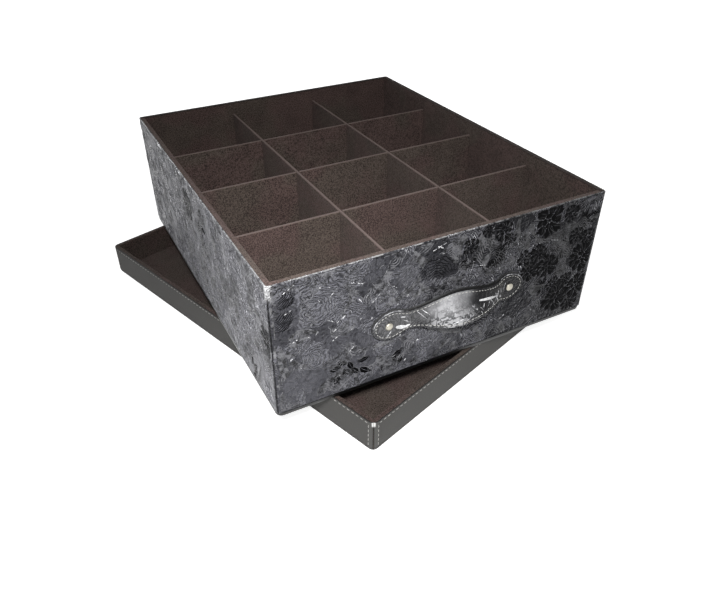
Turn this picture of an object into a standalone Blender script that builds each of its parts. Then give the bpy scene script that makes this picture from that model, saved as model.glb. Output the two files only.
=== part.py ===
# Presentation box: an open box with a drop-in divider grid and a strap handle, standing on its
# upturned lid. Metres, +Z up. The origin is on the floor under the middle of the lid.

import math

import bmesh
import bpy
from mathutils import Vector

# Clearance between touching pieces, and how far a cutter runs past what it cuts
gap = 0.0003
overrun = 0.0020

# Box: overall size, and the layers of its walls from the outside in
box_width = 0.3400
box_depth = 0.4100
box_height = 0.1350
box_cover_thickness = 0.0010
box_board_thickness = 0.0035
box_lining_thickness = 0.0010
box_corner_radius = 0.0030

# Base of the box: a thin board in a wrapped cover
base_cover_thickness = 0.0008
base_board_thickness = 0.0030
base_corner_radius = 0.0060
base_edge_radius = 0.0018

# Divider grid: three dividers across the width, two along the depth
divider_thickness = 0.0030
divider_drop = 0.0135
divider_edge_radius = 0.0012
row_count = 4
column_count = 3

# Strap handle: a dog-bone outline, with a wide middle, two narrow necks and two round ends
handle_height_on_wall = 0.0632
handle_half_length = 0.0805
handle_end_half_height = 0.0150
handle_waist_half_height = 0.0103
handle_middle_half_height = 0.0170
handle_end_round = 0.0190
handle_neck = 0.0196
handle_strap_thickness = 0.0018
handle_backing_thickness = 0.0014

# The strap's bow away from the wall: how far it lies flat inside each rivet, how far its crest
# lies off the middle, and how it leans and rises there
handle_bow = 0.0123
handle_left_flat = 0.0265
handle_right_flat = 0.0095
handle_crest_place = 0.0200
handle_lean = 0.0050
handle_rise = 0.0040
handle_crown = 0.0010
handle_foot_ease = 0.0040

# Rivets of the handle, with the washers that they close on
rivet_end_distance = 0.0160
rivet_head_radius = 0.0038
rivet_head_height = 0.0018
rivet_shank_radius = 0.0017
rivet_hole_radius = 0.0021
rivet_tail_radius = 0.0026
rivet_tail_height = 0.0005
washer_radius = 0.0050
washer_thickness = 0.0008

# Lid: how loosely it fits round the box, its height, and the layers of its skirt from the outside in
lid_clearance = 0.0056
lid_height = 0.0360
lid_cover_thickness = 0.0008
lid_board_thickness = 0.0030
lid_lining_thickness = 0.0010
lid_corner_radius = 0.0060
lid_edge_radius = 0.0045
lid_panel_thickness = 0.0030

# How the box stands on the lid, as photographed
lid_turn_degrees = 18.3
box_shift_x = -0.0027
box_shift_y = -0.0120

# Small roundings: the eased edge of a leather sheet, and the least corner of an inside radius
leather_edge = 0.0004
least_radius = 0.0003

# Counts of facets and stations
corner_steps = 5
edge_steps = 3
circle_sides = 24
dome_steps = 5
waist_stations = 12
shoulder_stations = 6
end_stations = 9
foot_samples = 3

# Shapes of the strap, as shares: how full the bow is, and how its edges are rounded
bow_fullness_share = 0.90
strap_flat_share = 0.90
strap_shoulder_share = 0.80

# Sizes that follow from the layers
box_wall = box_cover_thickness + box_board_thickness + box_lining_thickness + gap + gap
lid_wall = lid_cover_thickness + lid_board_thickness + lid_lining_thickness + gap + gap
lid_width = box_width + 2 * (lid_clearance + lid_wall)
lid_depth = box_depth + 2 * (lid_clearance + lid_wall)
box_board_place = box_cover_thickness + gap
box_lining_place = box_board_place + box_board_thickness + gap
lid_board_place = lid_cover_thickness + gap
lid_lining_place = lid_board_place + lid_board_thickness + gap
base_board_bottom = base_cover_thickness + gap
base_top = base_board_bottom + base_board_thickness
box_wall_bottom = base_top + gap
floor_lining_top = box_wall_bottom + box_lining_thickness
box_inner_floor = floor_lining_top + gap
box_lip_bottom = box_height - box_lining_thickness
lid_panel_bottom = lid_cover_thickness + gap
lid_panel_top = lid_panel_bottom + lid_panel_thickness
lid_wall_bottom = lid_panel_top + gap
lid_cover_seam = max(lid_panel_top, lid_edge_radius) + gap
lid_floor_lining_top = lid_wall_bottom + lid_lining_thickness
lid_lip_bottom = lid_height - lid_lining_thickness
handle_end_place = handle_half_length - handle_end_round
handle_waist_place = handle_end_place - handle_neck
rivet_place = handle_half_length - rivet_end_distance
handle_left_foot = rivet_place - handle_left_flat
handle_right_foot = rivet_place - handle_right_flat
inner_width = box_width - box_wall - box_wall
inner_depth = box_depth - box_wall - box_wall


# Helpers

def clear_scene():
    for thing in list(bpy.data.objects):
        bpy.data.objects.remove(thing, do_unlink=True)


def finish(name, colour, roughness, metallic=0.0):
    material = bpy.data.materials.new(name)
    material.use_nodes = True
    shader = material.node_tree.nodes["Principled BSDF"]
    shader.inputs["Base Color"].default_value = (*colour, 1.0)
    shader.inputs["Roughness"].default_value = roughness
    shader.inputs["Metallic"].default_value = metallic
    material.diffuse_color = (*colour, 1.0)
    return material


def holder(name, place, turn_degrees=0.0, parent=None):
    empty = bpy.data.objects.new(name, None)
    empty.location = place
    empty.rotation_euler = (0.0, 0.0, math.radians(turn_degrees))
    empty.parent = parent
    bpy.context.collection.objects.link(empty)
    return empty


def add_object(name, bm, parent, material=None, turn_degrees=0.0, smooth=True):
    bmesh.ops.recalc_face_normals(bm, faces=bm.faces)
    mesh = bpy.data.meshes.new(name)
    bm.to_mesh(mesh)
    bm.free()
    if smooth:
        mesh.shade_smooth()
        mesh.set_sharp_from_angle(angle=math.radians(35.0))
    if material is not None:
        mesh.materials.append(material)
    thing = bpy.data.objects.new(name, mesh)
    thing.rotation_euler = (0.0, 0.0, math.radians(turn_degrees))
    thing.parent = parent
    bpy.context.collection.objects.link(thing)
    return thing


def as_cutter(thing):
    thing.hide_render = True
    thing.display_type = "WIRE"
    return thing


def cut(thing, cutter):
    modifier = thing.modifiers.new(cutter.name, "BOOLEAN")
    modifier.operation = "DIFFERENCE"
    modifier.solver = "EXACT"
    modifier.object = cutter


def add_loft(bm, rings, closed=False):
    # Joins rings of equally many points; the ends are capped unless the rings close on themselves
    rows = [[bm.verts.new(point) for point in ring] for ring in rings]
    pairs = list(zip(rows, rows[1:]))
    if closed:
        pairs.append((rows[-1], rows[0]))
    for low, high in pairs:
        count = len(low)
        for i in range(count):
            j = (i + 1) % count
            bm.faces.new((low[i], low[j], high[j], high[i]))
    if not closed:
        bm.faces.new(rows[0])
        bm.faces.new(rows[-1])


def rounded_ring(half_x, half_y, radius, z):
    # A level rectangle with round corners
    radius = max(radius, least_radius)
    points = []
    for quarter in range(4):
        sign_x = 1.0 if quarter in (0, 3) else -1.0
        sign_y = 1.0 if quarter in (0, 1) else -1.0
        for step in range(corner_steps + 1):
            angle = math.pi / 2 * (quarter + step / corner_steps)
            x = sign_x * (half_x - radius) + radius * math.cos(angle)
            y = sign_y * (half_y - radius) + radius * math.sin(angle)
            points.append((x, y, z))
    return points


def fillet_levels(inset, bottom, radius, top):
    # Insets and heights of a face with a rounded lower edge, which ends at the top even
    # where the rounding is taller than the face
    last = math.acos(max(0.0, 1 - (top - bottom) / radius))
    levels = []
    for step in range(edge_steps + 1):
        angle = last * step / edge_steps
        across = inset + radius * (1 - math.sin(angle))
        up = bottom + radius * (1 - math.cos(angle))
        levels.append((across, up))
    if top > bottom + radius:
        levels.append((inset, top))
    return levels


def level_rings(width, depth, corner_radius, levels):
    rings = []
    for inset, z in levels:
        rings.append(rounded_ring(width / 2 - inset, depth / 2 - inset, corner_radius - inset, z))
    return rings


def wrapped_tray(name, width, depth, corner_radius, edge_radius, thickness, top, parent, material):
    # A sheet wrapped round a board's underside and edges
    outside = fillet_levels(0.0, 0.0, edge_radius, top)
    inner_radius = max(edge_radius - thickness, least_radius)
    inside = fillet_levels(thickness, thickness, inner_radius, top)
    inside.reverse()
    levels = outside + inside
    bm = bmesh.new()
    add_loft(bm, level_rings(width, depth, corner_radius, levels))
    return add_object(name, bm, parent, material)


def seated_board(name, width, depth, corner_radius, edge_radius, inset, top, parent, material):
    # The board inside that sheet, with the same rounded lower edge
    radius = max(edge_radius - inset, least_radius)
    levels = fillet_levels(inset, inset, radius, top)
    bm = bmesh.new()
    add_loft(bm, level_rings(width, depth, corner_radius, levels))
    return add_object(name, bm, parent, material)


def flat_sheet(name, width, depth, corner_radius, inset, bottom, top, parent, material):
    levels = [(inset, bottom), (inset, top)]
    bm = bmesh.new()
    add_loft(bm, level_rings(width, depth, corner_radius, levels))
    return add_object(name, bm, parent, material)


def mitred_side(name, section, run, reach, corner_radius, turn_degrees, parent, material):
    # One side of a frame: a section of depths and heights, run round half of both its corners
    # and cut off at the mitres, where half the gap is left
    stations = []
    for side in (-1, 1):
        for step in range(corner_steps + 1):
            share = step / corner_steps if side < 0 else 1 - step / corner_steps
            stations.append((side, share))
    rings = []
    for side, share in stations:
        ring = []
        for depth, z in section:
            radius = max(corner_radius - depth, least_radius)
            first = math.pi / 4 - math.asin(gap / 2 / radius)
            angle = first * (1 - share)
            x = run / 2 - depth - radius + radius * math.sin(angle)
            y = -reach / 2 + depth + radius - radius * math.cos(angle)
            ring.append((side * x, y, z))
        rings.append(ring)
    bm = bmesh.new()
    add_loft(bm, rings)
    return add_object(name, bm, parent, material, turn_degrees)


def frame_of_sides(prefix, suffix, section, width, depth, corner_radius, parent, material):
    sides = {}
    for name, turn_degrees in (("front", 0.0), ("right", 90.0), ("back", 180.0), ("left", 270.0)):
        run, reach = (width, depth) if name in ("front", "back") else (depth, width)
        label = prefix + name + suffix
        sides[name] = mitred_side(label, section, run, reach, corner_radius, turn_degrees, parent, material)
    return sides


def leather_section(thickness, bottom, top):
    # An upright sheet whose outer edges are eased
    return [
        (leather_edge, bottom),
        (0.0, bottom + leather_edge),
        (0.0, top - leather_edge),
        (leather_edge, top),
        (thickness, top),
        (thickness, bottom),
    ]


def board_section(place, thickness, bottom, top):
    return [(place, bottom), (place, top), (place + thickness, top), (place + thickness, bottom)]


def lining_section(lip_place, sheet_place, thickness, bottom, lip_bottom, top):
    # An upright velvet sheet that turns over the board's top, rounded where it turns
    inner = sheet_place + thickness
    points = [(lip_place, lip_bottom), (lip_place, top)]
    for step in range(edge_steps + 1):
        angle = math.pi / 2 * step / edge_steps
        across = inner - thickness + thickness * math.sin(angle)
        up = top - thickness + thickness * math.cos(angle)
        points.append((across, up))
    points += [(inner, bottom), (sheet_place, bottom), (sheet_place, lip_bottom)]
    return points


def turned_rings(profile, centre_x, centre_z):
    # Circles about an axis that runs front to back, for a profile of radii and places
    rings = []
    for radius, y in profile:
        ring = []
        for side in range(circle_sides):
            angle = 2 * math.pi * side / circle_sides
            ring.append((centre_x + radius * math.cos(angle), y, centre_z + radius * math.sin(angle)))
        rings.append(ring)
    return rings


def block_rings(low, high):
    floor = [(low.x, low.y), (high.x, low.y), (high.x, high.y), (low.x, high.y)]
    return [[(x, y, z) for x, y in floor] for z in (low.z, high.z)]


clear_scene()

# Finishes

embossed_leather = finish("embossed leather", (0.115, 0.117, 0.120), 0.38)
plain_leatherette = finish("plain leatherette", (0.085, 0.082, 0.078), 0.55)
lid_leatherette = finish("lid leatherette", (0.105, 0.098, 0.091), 0.62)
velvet = finish("brown velvet", (0.095, 0.068, 0.058), 0.95)
fibre_board = finish("fibre board", (0.330, 0.250, 0.170), 0.85)
strap_leather = finish("strap leather", (0.130, 0.132, 0.136), 0.34)
backing_leather = finish("backing leather", (0.070, 0.068, 0.066), 0.60)
rivet_metal = finish("rivet metal", (0.780, 0.760, 0.680), 0.25, 1.0)

# Holders: the lid turned on the floor, the box on the lid's rim, and the dividers in the box

lid_place = holder("lid_place", (0.0, 0.0, 0.0), lid_turn_degrees)
box_place = holder("box_place", (box_shift_x, box_shift_y, lid_height + gap))
grid_place = holder("grid_place", (0.0, 0.0, box_inner_floor), parent=box_place)

# Box: the base, then walls from the outside in

wrapped_tray(
    "base_cover", box_width, box_depth, base_corner_radius, base_edge_radius,
    base_cover_thickness, base_top, box_place, plain_leatherette,
)
seated_board(
    "base_board", box_width, box_depth, base_corner_radius, base_edge_radius,
    base_board_bottom, base_top, box_place, fibre_board,
)
box_covers = frame_of_sides(
    "", "_cover", leather_section(box_cover_thickness, box_wall_bottom, box_height),
    box_width, box_depth, box_corner_radius, box_place, embossed_leather,
)
box_boards = frame_of_sides(
    "", "_board",
    board_section(box_board_place, box_board_thickness, box_wall_bottom, box_lip_bottom - gap),
    box_width, box_depth, box_corner_radius, box_place, fibre_board,
)
frame_of_sides(
    "", "_lining",
    lining_section(
        box_board_place, box_lining_place, box_lining_thickness,
        box_inner_floor, box_lip_bottom, box_height,
    ),
    box_width, box_depth, box_corner_radius, box_place, velvet,
)
flat_sheet(
    "floor_lining", box_width, box_depth, box_corner_radius, box_lining_place,
    box_wall_bottom, floor_lining_top, box_place, velvet,
)

# Divider grid: boards with soft top edges, joined by half laps

divider_height = box_height - divider_drop - box_inner_floor
lap_height = divider_height / 2
slot_half_width = divider_thickness / 2 + gap
cross_length = inner_width - gap - gap
long_length = inner_depth - gap - gap
row_places = [inner_depth * (row / row_count - 0.5) for row in range(1, row_count)]
column_places = [inner_width * (column / column_count - 0.5) for column in range(1, column_count)]


def divider_section():
    half = divider_thickness / 2
    points = [(-half, 0.0), (half, 0.0)]
    for side in (1, -1):
        for step in range(edge_steps + 1):
            share = step / edge_steps if side > 0 else 1 - step / edge_steps
            angle = math.pi / 2 * share
            across = half - divider_edge_radius + divider_edge_radius * math.cos(angle)
            up = divider_height - divider_edge_radius + divider_edge_radius * math.sin(angle)
            points.append((side * across, up))
    return points


def divider(name, length, place, along_x, slots, parent):
    rings = []
    for end in (-length / 2, length / 2):
        if along_x:
            rings.append([(end, place + across, up) for across, up in divider_section()])
        else:
            rings.append([(place + across, end, up) for across, up in divider_section()])
    bm = bmesh.new()
    add_loft(bm, rings)
    board = add_object(name, bm, parent, velvet)
    cut(board, slots)
    return board


def slot_cutter(name, bottom, top):
    bm = bmesh.new()
    for x in column_places:
        for y in row_places:
            low = Vector((x - slot_half_width, y - slot_half_width, bottom))
            high = Vector((x + slot_half_width, y + slot_half_width, top))
            add_loft(bm, block_rings(low, high))
    return as_cutter(add_object(name, bm, grid_place, smooth=False))


upper_slots = slot_cutter("upper_slots", lap_height - gap / 2, divider_height + overrun)
lower_slots = slot_cutter("lower_slots", -overrun, lap_height + gap / 2)
for name, place in zip(("front", "middle", "back"), row_places):
    divider("cross_divider_" + name, cross_length, place, True, upper_slots, grid_place)
for name, place in zip(("left", "right"), column_places):
    lift = holder("long_divider_" + name + "_place", (0.0, 0.0, 0.0), parent=grid_place)
    divider("long_divider_" + name, long_length, place, False, lower_slots, lift)

# Handle: two sewn layers on one bowed path, riveted through the front wall

wall_face = -box_depth / 2
backing_middle = gap + handle_backing_thickness / 2
strap_middle = gap + handle_backing_thickness + gap + handle_strap_thickness / 2
strap_front = strap_middle + handle_strap_thickness / 2


def smooth_step(start, end, share):
    return start + (end - start) * (3 - 2 * share) * share * share


def strap_half_height(place):
    # Wide middle, narrow waist, wide end that closes in a half ellipse
    place = abs(place)
    if place < handle_waist_place:
        share = place / handle_waist_place
        return smooth_step(handle_middle_half_height, handle_waist_half_height, share)
    if place < handle_end_place:
        share = (place - handle_waist_place) / (handle_end_place - handle_waist_place)
        return smooth_step(handle_waist_half_height, handle_end_half_height, share)
    share = (place - handle_end_place) / (handle_half_length - handle_end_place)
    return handle_end_half_height * math.sqrt(max(0.0, 1 - share * share))


def bow_lobe(place):
    # Nothing at the feet, one at the crest, which lies off the middle
    if place < handle_crest_place:
        share = (handle_crest_place - place) / (handle_crest_place + handle_left_foot)
    else:
        share = (place - handle_crest_place) / (handle_right_foot - handle_crest_place)
    return math.cos(math.pi / 2 * min(share, 1.0)) ** bow_fullness_share


def bow_share(place):
    # The same lobe averaged over a short stretch, so that the leather turns softly at its feet
    samples = [bow_lobe(place + handle_foot_ease * step / foot_samples)
               for step in range(-foot_samples, foot_samples + 1)]
    return sum(samples) / len(samples)


def strap_places():
    # Stations close enough to draw the outline's turns, and closest at the round ends
    half = [handle_waist_place * step / waist_stations for step in range(waist_stations + 1)]
    for step in range(1, shoulder_stations + 1):
        share = step / shoulder_stations
        half.append(handle_waist_place + (handle_end_place - handle_waist_place) * share)
    for step in range(1, end_stations):
        angle = math.pi / 2 * step / end_stations
        half.append(handle_end_place + (handle_half_length - handle_end_place) * math.sin(angle))
    return [-place for place in reversed(half[1:])] + half


def strap_layer(name, middle, thickness, crown, material):
    # A loft of cross-sections, each set square to the bowed path
    half = thickness / 2
    section = []
    for across, out in ((-1.0, 0.0), (-1.0, 1.0), (-0.5, 1.0), (0.0, 1.0), (0.5, 1.0), (1.0, 1.0),
                        (1.0, 0.0), (1.0, -1.0), (0.0, -1.0), (-1.0, -1.0)):
        at_edge = abs(across) == 1.0 and out != 0.0
        across_share = across * (strap_flat_share if at_edge else 1.0)
        section.append((across_share, out * (strap_shoulder_share if at_edge else 1.0)))
    rings = []
    for place in strap_places():
        height = strap_half_height(place)
        bow = bow_share(place)
        rise = handle_bow * (bow_share(place + handle_foot_ease) - bow_share(place - handle_foot_ease))
        slope = math.atan2(rise, 2 * handle_foot_ease)
        ring = []
        for across, out in section:
            swell = crown * bow * (1 - across * across) if out > 0 else 0.0
            push = middle + half * out + swell
            away = (handle_bow - handle_lean * across) * bow + push * math.cos(slope)
            x = place - push * math.sin(slope)
            z = handle_height_on_wall + handle_rise * bow + height * across
            ring.append((x, wall_face - away, z))
        rings.append(ring)
    bm = bmesh.new()
    add_loft(bm, rings)
    return add_object(name, bm, box_place, material)


def rivet_cutter():
    # A bore for the shank, and a wider seat for the washer on the board's inner side
    seat_depth = rivet_tail_height + washer_thickness + gap + gap
    board_inner = wall_face + box_board_place + box_board_thickness
    profile = [
        (rivet_hole_radius, wall_face - strap_front - overrun),
        (rivet_hole_radius, board_inner - seat_depth),
        (washer_radius + gap, board_inner - seat_depth),
        (washer_radius + gap, board_inner + gap / 2),
    ]
    bm = bmesh.new()
    for side in (-1, 1):
        add_loft(bm, turned_rings(profile, side * rivet_place, handle_height_on_wall))
    return as_cutter(add_object("rivet_bores", bm, box_place, smooth=False))


def rivet(name, centre_x):
    head_seat = wall_face - strap_front - gap
    tail_end = wall_face + box_board_place + box_board_thickness
    tail_start = tail_end - rivet_tail_height
    profile = [
        (rivet_tail_radius, tail_end),
        (rivet_tail_radius, tail_start),
        (rivet_shank_radius, tail_start),
        (rivet_shank_radius, head_seat),
        (rivet_head_radius, head_seat),
    ]
    for step in range(1, dome_steps):
        angle = math.pi / 2 * step / dome_steps
        profile.append((rivet_head_radius * math.cos(angle), head_seat - rivet_head_height * math.sin(angle)))
    bm = bmesh.new()
    add_loft(bm, turned_rings(profile, centre_x, handle_height_on_wall))
    return add_object(name, bm, box_place, rivet_metal)


def washer(name, centre_x):
    inner_face = wall_face + box_board_place + box_board_thickness - rivet_tail_height - gap
    outer_face = inner_face - washer_thickness
    profile = [
        (rivet_hole_radius, outer_face),
        (washer_radius, outer_face),
        (washer_radius, inner_face),
        (rivet_hole_radius, inner_face),
    ]
    bm = bmesh.new()
    add_loft(bm, turned_rings(profile, centre_x, handle_height_on_wall), closed=True)
    return add_object(name, bm, box_place, rivet_metal)


strap = strap_layer("handle_strap", strap_middle, handle_strap_thickness, handle_crown, strap_leather)
backing = strap_layer("handle_backing", backing_middle, handle_backing_thickness, 0.0, backing_leather)
bores = rivet_cutter()
for pierced in (strap, backing, box_covers["front"], box_boards["front"]):
    cut(pierced, bores)
for name, side in (("left", -1), ("right", 1)):
    rivet("handle_rivet_" + name, side * rivet_place)
    washer("rivet_washer_" + name, side * rivet_place)

# Lid, upside down: its panel on the floor, its skirt standing up

wrapped_tray(
    "lid_panel_cover", lid_width, lid_depth, lid_corner_radius, lid_edge_radius,
    lid_cover_thickness, lid_cover_seam - gap, lid_place, lid_leatherette,
)
seated_board(
    "lid_panel_board", lid_width, lid_depth, lid_corner_radius, lid_edge_radius,
    lid_panel_bottom, lid_panel_top, lid_place, fibre_board,
)
frame_of_sides(
    "lid_", "_cover", leather_section(lid_cover_thickness, lid_cover_seam, lid_height),
    lid_width, lid_depth, lid_corner_radius, lid_place, lid_leatherette,
)
frame_of_sides(
    "lid_", "_board",
    board_section(lid_board_place, lid_board_thickness, lid_wall_bottom, lid_lip_bottom - gap),
    lid_width, lid_depth, lid_corner_radius, lid_place, fibre_board,
)
frame_of_sides(
    "lid_", "_lining",
    lining_section(
        lid_board_place, lid_lining_place, lid_lining_thickness,
        lid_floor_lining_top + gap, lid_lip_bottom, lid_height,
    ),
    lid_width, lid_depth, lid_corner_radius, lid_place, velvet,
)
flat_sheet(
    "lid_floor_lining", lid_width, lid_depth, lid_corner_radius, lid_lining_place,
    lid_wall_bottom, lid_floor_lining_top, lid_place, velvet,
)
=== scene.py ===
# %% [markdown]
# # A velvet-lined box of twelve compartments, standing on its upturned lid
# The CAD model gives every solid its true shape and size. This lesson dresses it: leather with
# an embossed flower pattern, a velvet lining, a stitched strap with rivets, a stitched lid, and
# a white studio. Each step says what the real thing is, how it could be made in Blender, and
# why one way was chosen.

import math
import random

import bpy
from mathutils import Matrix, Vector


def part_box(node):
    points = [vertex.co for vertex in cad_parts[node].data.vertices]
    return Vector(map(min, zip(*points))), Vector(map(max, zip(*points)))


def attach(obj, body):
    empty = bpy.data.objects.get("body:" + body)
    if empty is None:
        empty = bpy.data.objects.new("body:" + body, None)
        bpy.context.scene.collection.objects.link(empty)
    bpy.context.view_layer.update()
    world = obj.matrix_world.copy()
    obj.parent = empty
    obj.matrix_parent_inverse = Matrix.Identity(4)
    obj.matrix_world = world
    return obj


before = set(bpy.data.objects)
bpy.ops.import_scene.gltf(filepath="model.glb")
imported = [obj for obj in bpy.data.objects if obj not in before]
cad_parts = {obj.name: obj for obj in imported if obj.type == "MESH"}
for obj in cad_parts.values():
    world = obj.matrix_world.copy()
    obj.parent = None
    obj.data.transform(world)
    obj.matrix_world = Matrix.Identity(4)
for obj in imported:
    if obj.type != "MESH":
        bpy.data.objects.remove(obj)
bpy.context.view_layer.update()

# %% [markdown]
# ## The camera
# A photograph of a box with square corners gives its own camera: the edges' vanishing points and
# the known sizes settle the lens and the place. The three directions below are the columns of
# the camera's turn, and the lens is written for a 36 mm wide sensor.

# %% Place the camera
camera_place = Vector((-0.29969, -0.60132, 0.44204))
camera_right = Vector((0.88690737, -0.46188971, -0.00729474))
camera_up = Vector((0.2709661, 0.5073823, 0.81801013))
camera_forward = Vector((0.37412924, 0.72747584, -0.57515755))

camera = bpy.data.objects.new("camera", bpy.data.cameras.new("camera"))
camera.data.lens = 33.685
camera.data.sensor_width = 36.0
camera.data.clip_start = 0.05
camera.data.clip_end = 40.0
turn = Matrix((camera_right, camera_up, -camera_forward)).transposed()
camera.matrix_world = Matrix.Translation(camera_place) @ turn.to_4x4()
bpy.context.scene.collection.objects.link(camera)
bpy.context.scene.camera = camera
bpy.context.scene.view_settings.view_transform = "Standard"
print("camera", round(camera.data.lens, 2), "mm")

# %% [markdown]
# ## Sums with sockets
# A finish is a small network: noise, distances and masks that are added and multiplied. Wiring
# Math nodes by hand hides the formula, so one small class wraps a socket and lets Python's own
# signs build the nodes. A second class holds a material and makes any other node.

# %% A socket that can be used in a formula
class Signal:
    def __init__(self, tree, socket):
        self.tree = tree
        self.socket = socket

    def math(self, operation, *values):
        return join_math(self.tree, operation, (self, *values))

    def __add__(self, other):
        return self.math("ADD", other)

    def __sub__(self, other):
        return self.math("SUBTRACT", other)

    def __rsub__(self, other):
        return join_math(self.tree, "SUBTRACT", (other, self))

    def __mul__(self, other):
        return self.math("MULTIPLY", other)

    def __truediv__(self, other):
        return self.math("DIVIDE", other)

    def __pow__(self, other):
        return self.math("POWER", other)

    __radd__ = __add__
    __rmul__ = __mul__

    def out(self, name):
        return Signal(self.tree, self.socket.node.outputs[name])


def put(tree, socket, value):
    if isinstance(value, Signal):
        tree.links.new(value.socket, socket)
    elif socket.type == "RGBA" and len(value) == 3:
        socket.default_value = (*value, 1.0)
    else:
        socket.default_value = value


def join_math(tree, operation, values):
    node = tree.nodes.new("ShaderNodeMath")
    node.operation = operation
    for socket, value in zip(node.inputs, values):
        put(tree, socket, value)
    return Signal(tree, node.outputs[0])


# %% A material and the nodes that make it
class Finish:
    def __init__(self, name):
        self.material = bpy.data.materials.new(name)
        self.material.use_nodes = True
        self.tree = self.material.node_tree
        self.shader = self.tree.nodes["Principled BSDF"]
        self.place = self.node("ShaderNodeTexCoord").out("Object")
        self.x, self.y, self.z = self.parts(self.place)
        self.side_x, _, self.up = self.parts(self.node("ShaderNodeNewGeometry").out("Normal"))

    def node(self, kind, settings=None, inputs=None):
        node = self.tree.nodes.new(kind)
        for name, value in (settings or {}).items():
            setattr(node, name, value)
        for name, value in (inputs or {}).items():
            put(self.tree, node.inputs[name], value)
        return Signal(self.tree, node.outputs[0])

    def parts(self, vector):
        split = self.node("ShaderNodeSeparateXYZ", inputs={0: vector})
        return split.out("X"), split.out("Y"), split.out("Z")

    def noise(self, scale, detail=2.0, roughness=0.5):
        inputs = {"Vector": self.place, "Scale": scale, "Detail": detail, "Roughness": roughness}
        return self.node("ShaderNodeTexNoise", None, inputs)

    def smooth(self, value, low, high, to_low=0.0, to_high=1.0):
        inputs = {"Value": value, "From Min": low, "From Max": high, "To Min": to_low, "To Max": to_high}
        return self.node("ShaderNodeMapRange", {"interpolation_type": "SMOOTHSTEP"}, inputs)

    def mix(self, factor, first, second):
        # a Mix node keeps sockets for each kind of data: 6, 7 and output 2 are the colours
        inputs = {0: factor, 6: first, 7: second}
        mixed = self.node("ShaderNodeMix", {"data_type": "RGBA"}, inputs)
        return Signal(self.tree, mixed.socket.node.outputs[2])

    def bump(self, height, distance, strength=1.0):
        inputs = {"Height": height, "Distance": distance, "Strength": strength}
        self.set(Normal=self.node("ShaderNodeBump", None, inputs))

    def set(self, **values):
        for name, value in values.items():
            put(self.tree, self.shader.inputs[name.replace("_", " ")], value)


# %% [markdown]
# ## The studio
# The photograph's background is pure white. A brighter lamp would burn the leather out, so the
# floor and the world are white only to the eye: rays that come from the camera, or from a
# mirror or a glass, find them at strength 1, and the light that falls on the box stays plain.
# Close to the box the floor glows a little less, and so keeps the box's soft shadow.

# %% Floor and world
near_glow, far_glow, mirror_glow = 0.88, 1.00, 0.90
glow_near_edge, glow_far_edge = 0.30, 0.95
ambient_strength = 0.13
black, white = (0.0, 0.0, 0.0), (1.0, 1.0, 1.0)
floor_grey = (0.78, 0.78, 0.78)
floor_reach = 8.0
floor_drop = 0.0004


def seen_by_eye(tree):
    path = tree.nodes.new("ShaderNodeLightPath")
    kinds = ("Is Camera Ray", "Is Glossy Ray", "Is Transmission Ray")
    rays = [Signal(tree, path.outputs[kind]) for kind in kinds]
    return rays[0].math("MAXIMUM", rays[1]).math("MAXIMUM", rays[2])


paper = Finish("studio_floor")
paper.set(Base_Color=floor_grey, Roughness=0.9, Specular_IOR_Level=0.0, Emission_Strength=1.0)
floor_distance = (paper.x * paper.x + paper.y * paper.y) ** 0.5
mirrored = paper.node("ShaderNodeLightPath").out("Is Glossy Ray")
glow = paper.smooth(floor_distance, glow_near_edge, glow_far_edge, near_glow, far_glow)
glow = glow.math("MAXIMUM", mirrored * mirror_glow) * seen_by_eye(paper.tree)
paper.set(Emission_Color=paper.mix(glow, black, white))

floor_mesh = bpy.data.meshes.new("floor")
quarters = ((-1, -1), (1, -1), (1, 1), (-1, 1))
floor_corners = [(sx * floor_reach, sy * floor_reach, -floor_drop) for sx, sy in quarters]
floor_mesh.from_pydata(floor_corners, [], [(0, 1, 2, 3)])
floor_mesh.materials.append(paper.material)
floor = bpy.data.objects.new("floor", floor_mesh)
bpy.context.scene.collection.objects.link(floor)

world = bpy.data.worlds.new("studio")
world.use_nodes = True
bpy.context.scene.world = world
air = world.node_tree
sky = air.nodes["Background"].inputs
put(air, sky["Color"], white)
put(air, sky["Strength"], seen_by_eye(air) * (1.0 - ambient_strength) + ambient_strength)
print("studio floor", floor_reach * 2, "m wide, ambient", ambient_strength)

# %% [markdown]
# ## The lamps
# Every surface in the photograph grows darker with its distance from the camera, the two faces
# of the lid's near corner are equally light, and no divider throws a shadow that can be seen: the
# light is one small lamp just above the camera. The white table in front throws a little of it
# back from below, which makes the shine on the strap: a weak, narrow lamp near the floor. Two
# low lamps behind light only the far walls, because they stand below the rim and can't reach
# into the box.

# %% A near lamp, a weak one in front, and two low ones behind
def soft_lamp(name, place, aim, width, power, spread, height=None):
    data = bpy.data.lights.new(name, "AREA")
    data.shape = "ELLIPSE"
    data.size = width
    data.size_y = height or width
    data.spread = math.radians(spread)
    data.energy = power
    lamp = bpy.data.objects.new(name, data)
    lamp.visible_camera = False
    lamp.location = place
    lamp.rotation_mode = "QUATERNION"
    lamp.rotation_quaternion = (Vector(aim) - Vector(place)).to_track_quat("-Z", "Y")
    bpy.context.scene.collection.objects.link(lamp)
    print("lamp", name, power, "W")


soft_lamp("main_lamp", (-0.32, -0.585, 0.56), (-0.10, -0.215, 0.09), width=0.10, power=0.92, spread=70.0)
soft_lamp("strap_lamp", (0.015, -0.50, 0.042), (-0.008, -0.232, 0.10), width=0.16, power=0.0040,
          spread=30.0, height=0.075)
soft_lamp("low_right_lamp", (1.30, 0.55, 0.10), (0.17, 0.05, 0.09), width=0.50, power=16.0, spread=180.0)
soft_lamp("low_back_lamp", (-0.30, 1.40, 0.10), (0.00, 0.20, 0.09), width=0.50, power=12.0, spread=180.0)

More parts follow.
